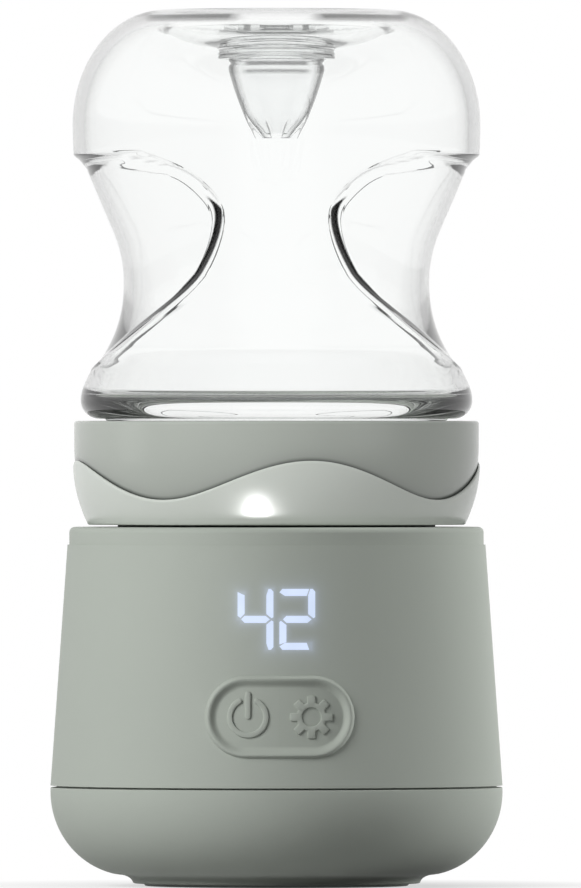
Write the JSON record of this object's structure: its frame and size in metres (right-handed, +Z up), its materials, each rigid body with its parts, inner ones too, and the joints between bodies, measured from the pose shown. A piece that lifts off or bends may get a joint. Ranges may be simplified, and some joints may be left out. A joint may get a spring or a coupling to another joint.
{
  "type": "portable bottle warmer",
  "caption": "Cordless warmer base with a heated plate, a twist-on adapter ring and a clear feeding bottle standing upside down in it; lit temperature digits and a pill-shaped keypad in front",
  "frame": {"origin": "middle of the underside of the foot pad, on the surface it stands on", "axes": "+Z up through base, adapter and bottle; -Y is the front with the digits and keypad; +X to the right seen from the front"},
  "size_m": [0.084, 0.0843, 0.1628],
  "materials": {
    "sage_plastic": "fine matt moulding",
    "adapter_gloss": "gloss moulding",
    "key_silicone": "matt silicone",
    "grey_silicone": "matt silicone",
    "clear_glass": "clear polished",
    "clear_silicone": "clear satin",
    "clear_plastic": "clear gloss",
    "lit_window": "lit, cool white",
    "white_plastic": "matt",
    "dark_plastic": "matt",
    "circuit_board": "solder mask",
    "cell_sleeve": "shrink sleeve",
    "lead_insulation": "satin",
    "heater_film": "film",
    "insulation": "fibre felt",
    "steel": "brushed"
  },
  "bodies": {
    "base": {"foot_pad": "grey_silicone", "lower_housing": "sage_plastic", "upper_housing": "sage_plastic", "top_deck": "sage_plastic", "housing_screws": "steel", "battery_cell_1": "cell_sleeve", "battery_cell_2": "cell_sleeve", "battery_cell_3": "cell_sleeve", "battery_cell_4": "cell_sleeve", "battery_frame_left": "dark_plastic", "battery_frame_right": "dark_plastic", "battery_strap_left": "steel", "battery_strap_right": "steel", "main_board": "circuit_board", "charging_socket": "steel", "charging_tongue": "dark_plastic", "display_board": "circuit_board", "display_block": "white_plastic", "lit_segments": "lit_window", "board_screws": "steel", "keypad_rim": "key_silicone", "switch_bodies": "dark_plastic", "heater_plate": "steel", "heater_seal": "grey_silicone", "heating_element": "heater_film", "insulation_pad": "insulation", "heater_bracket": "dark_plastic", "heater_screws": "steel", "temperature_sensor": "steel", "heater_leads": "lead_insulation", "display_ribbon": "dark_plastic"},
    "power_button": {"power_key": "key_silicone"},
    "settings_button": {"settings_key": "key_silicone"},
    "power_switch": {"power_plunger": "dark_plastic"},
    "settings_switch": {"settings_plunger": "dark_plastic"},
    "adapter": {"adapter_body": "adapter_gloss", "adapter_skirt": "adapter_gloss", "bottle_gasket": "grey_silicone", "plate_gasket": "grey_silicone"},
    "bottle": {"bottle": "clear_glass"},
    "valve": {"vent_valve": "clear_silicone", "vent_cap": "clear_plastic"}
  },
  "joints": [
    {"name": "adapter_turn", "type": "hinge", "parent": "base", "child": "adapter", "pos_m": [0, 0, 0.07], "axis": [0, 0, 1], "range_deg": [0, 60]},
    {"name": "bottle_lift", "type": "slide", "parent": "adapter", "child": "bottle", "axis": [0, 0, 1], "range_m": [0, 0.03]},
    {"name": "valve_pull", "type": "slide", "parent": "bottle", "child": "valve", "axis": [0, 0, 1], "range_m": [0, 0.025]},
    {"name": "power_press", "type": "slide", "parent": "base", "child": "power_button", "axis": [0, 1, 0], "range_m": [0, 0.00035], "stiffness_N_per_m": 3000},
    {"name": "settings_press", "type": "slide", "parent": "base", "child": "settings_button", "axis": [0, 1, 0], "range_m": [0, 0.00035], "stiffness_N_per_m": 3000},
    {"name": "power_plunge", "type": "slide", "parent": "base", "child": "power_switch", "axis": [0, 1, 0], "range_m": [0, 0.00035]},
    {"name": "settings_plunge", "type": "slide", "parent": "base", "child": "settings_switch", "axis": [0, 1, 0], "range_m": [0, 0.00035]}
  ],
  "couplings": [
    {"joint": "power_plunge", "follows": "power_press", "ratio": 1},
    {"joint": "settings_plunge", "follows": "settings_press", "ratio": 1}
  ]
}
